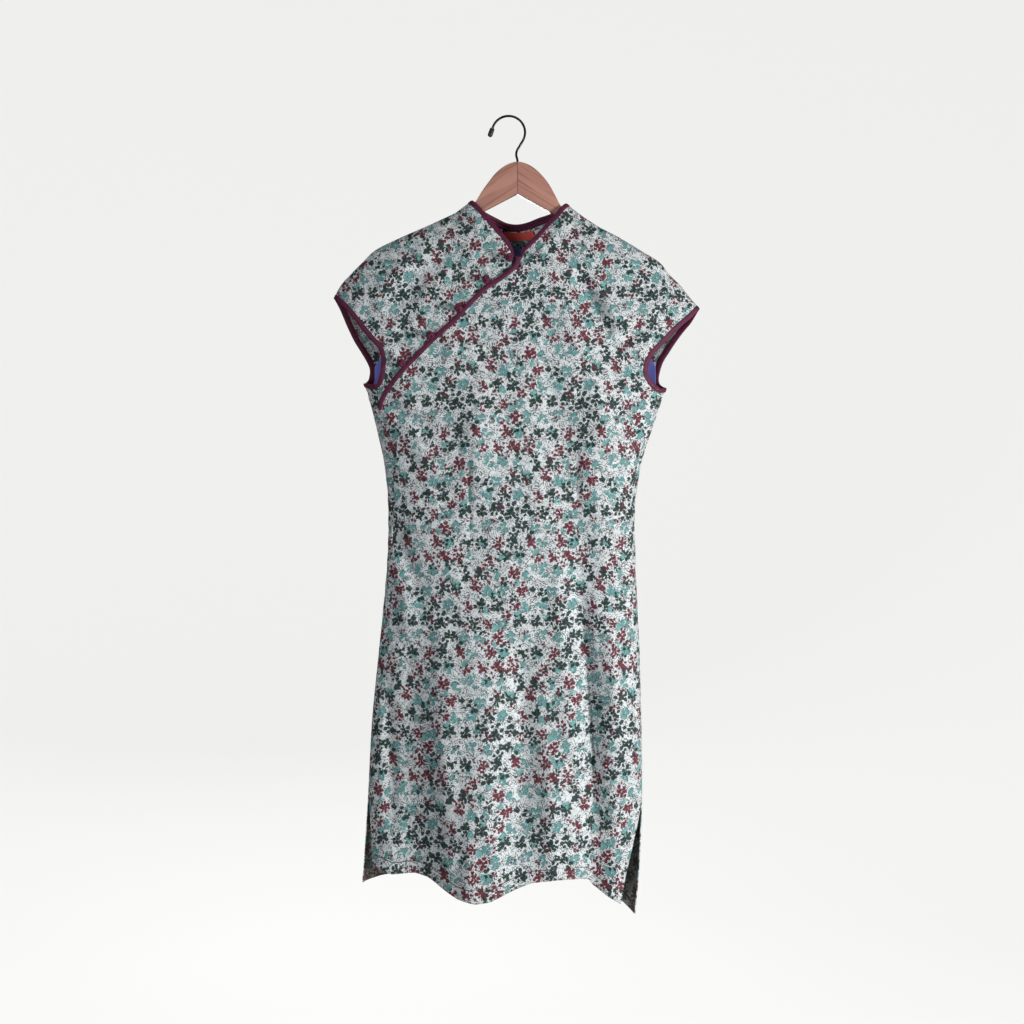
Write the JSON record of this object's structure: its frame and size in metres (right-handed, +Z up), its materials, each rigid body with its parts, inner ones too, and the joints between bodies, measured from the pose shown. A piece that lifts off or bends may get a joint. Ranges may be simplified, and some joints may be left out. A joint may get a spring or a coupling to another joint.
{
  "type": "cheongsam dress on wooden hanger",
  "caption": "Sleeveless printed cheongsam dress with stand collar, slanting bound opening, ball knots and side slits, on a wooden hanger with a metal hook.",
  "frame": {"origin": "inner top of the hanger's hook, where a rail holds it", "axes": "+Z up; the front of the dress faces -Y; the wearer's right side and the slanting opening are at -X"},
  "size_m": [0.5133, 0.1292, 1.1191],
  "materials": {
    "print": "matt woven cloth with a small floral print",
    "binding": "soft satin bias binding",
    "lining": "smooth lining",
    "label": "woven ribbon",
    "tag": "white tape",
    "wood": "satin lacquer",
    "black_metal": "satin black"
  },
  "bodies": {
    "root": {"hanger_wood": "wood", "hanger_hook": "black_metal", "hook_tip": "black_metal", "front_outer": "print", "front_underlap": "print", "back": "print", "facing_back": "print", "lining_back": "lining", "collar": "print", "binding_collar": "binding", "binding_opening": "binding", "binding_armhole_left": "binding", "binding_armhole_right": "binding", "label": "label", "size_tag": "tag", "button_1": "binding", "loop_1": "binding", "button_2": "binding", "loop_2": "binding", "button_3": "binding", "loop_3": "binding", "button_4": "binding", "loop_4": "binding", "button_5": "binding", "loop_5": "binding"}
  },
  "joints": []
}
